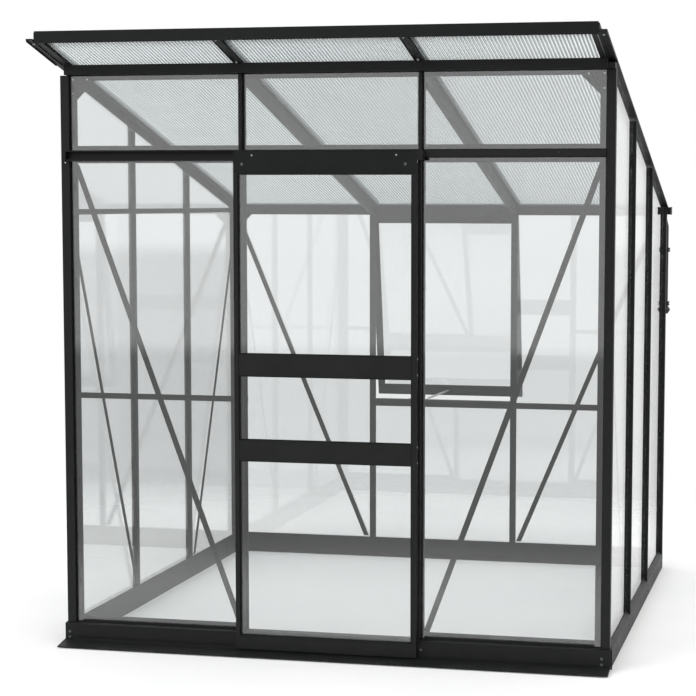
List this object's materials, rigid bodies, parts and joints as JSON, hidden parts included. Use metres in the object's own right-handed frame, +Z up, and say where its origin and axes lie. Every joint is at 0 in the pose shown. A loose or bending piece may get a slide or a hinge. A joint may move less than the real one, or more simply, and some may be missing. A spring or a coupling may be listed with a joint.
{
  "type": "lean-to greenhouse",
  "caption": "Lean-to greenhouse with glazed walls, a sliding door in the high wall, a ribbed sheet roof and a top-hung window in the low wall.",
  "frame": {"origin": "middle of the bounding box's foot, on the ground", "axes": "+X to the right along the high wall seen from outside, +Y from the high door wall to the low window wall, +Z up"},
  "size_m": [1.955, 2.365, 2.121],
  "materials": {
    "black_aluminium": "satin black powder coat",
    "fascia_aluminium": "satin anthracite powder coat",
    "clear_glass": "clear toughened glass",
    "ribbed_sheet": "translucent twin-wall polycarbonate, ribs down the slope",
    "black_plastic": "black moulded plastic",
    "zinc_steel": "zinc-plated flat bar"
  },
  "bodies": {
    "frame": {"base_frame": "black_aluminium", "front_left_post": "black_aluminium", "front_right_post": "black_aluminium", "rear_left_post": "black_aluminium", "rear_right_post": "black_aluminium", "front_mullion_left": "black_aluminium", "front_mullion_right": "black_aluminium", "front_eave_beam": "black_aluminium", "front_transom_and_track": "black_aluminium", "left_wall_bar_front": "black_aluminium", "left_wall_bar_rear": "black_aluminium", "left_wall_bracing": "black_aluminium", "front_bracing_left": "black_aluminium", "rear_brace_left": "black_aluminium", "right_wall_bar_front": "black_aluminium", "right_wall_bar_rear": "black_aluminium", "right_wall_bracing": "black_aluminium", "front_bracing_right": "black_aluminium", "rear_brace_right": "black_aluminium", "rear_bar_left": "black_aluminium", "rear_bar_right": "black_aluminium", "rear_eave_gutter": "black_aluminium", "window_sill": "black_aluminium", "downpipe": "black_plastic", "gable_rafter_left": "black_aluminium", "roof_bar_left": "black_aluminium", "roof_bar_right": "black_aluminium", "gable_rafter_right": "black_aluminium", "roof_fascia": "fascia_aluminium", "roof_sheet_1": "ribbed_sheet", "roof_sheet_2": "ribbed_sheet", "roof_sheet_3": "ribbed_sheet", "front_glass_left": "clear_glass", "front_glass_right": "clear_glass", "front_top_glass_1": "clear_glass", "left_glass_1": "clear_glass", "right_glass_1": "clear_glass", "front_top_glass_2": "clear_glass", "left_glass_2": "clear_glass", "right_glass_2": "clear_glass", "front_top_glass_3": "clear_glass", "left_glass_3": "clear_glass", "right_glass_3": "clear_glass", "rear_glass_left": "clear_glass", "rear_glass_under_window": "clear_glass", "rear_glass_right": "clear_glass"},
    "door": {"door_stile_left": "black_aluminium", "door_stile_right": "black_aluminium", "door_head": "fascia_aluminium", "door_foot_rail": "black_aluminium", "door_rail_low": "black_aluminium", "door_rail_high": "black_aluminium", "door_glass_low": "clear_glass", "door_glass_middle": "clear_glass", "door_glass_high": "clear_glass"},
    "roller_left": {"roller_left": "black_plastic"},
    "roller_right": {"roller_right": "black_plastic"},
    "window": {"window_frame": "black_aluminium", "window_glass": "clear_glass"},
    "stay": {"window_stay": "zinc_steel"}
  },
  "joints": [
    {"name": "door_slide", "type": "slide", "parent": "frame", "child": "door", "axis": [1, 0, 0], "range_m": [-0.6, 0]},
    {"name": "roller_left_spin", "type": "hinge", "parent": "door", "child": "roller_left", "pos_m": [-0.2625, -0.93056, 1.7163], "axis": [0, 1, 0], "continuous": true},
    {"name": "roller_right_spin", "type": "hinge", "parent": "door", "child": "roller_right", "pos_m": [0.2385, -0.93056, 1.7163], "axis": [0, 1, 0], "continuous": true},
    {"name": "window_hinge", "type": "hinge", "parent": "frame", "child": "window", "pos_m": [0, 1.02744, 1.50104], "axis": [1, 0, 0], "range_deg": [-9.9, 20]},
    {"name": "stay_pivot", "type": "hinge", "parent": "window", "child": "stay", "pos_m": [0, 1.1445, 0.72967], "axis": [0, -0.1719, 0.9851], "range_deg": [-65, 24]}
  ],
  "couplings": [
    {"joint": "roller_left_spin", "follows": "door_slide", "rad_per_m": 90.909},
    {"joint": "roller_right_spin", "follows": "door_slide", "rad_per_m": 90.909}
  ]
}
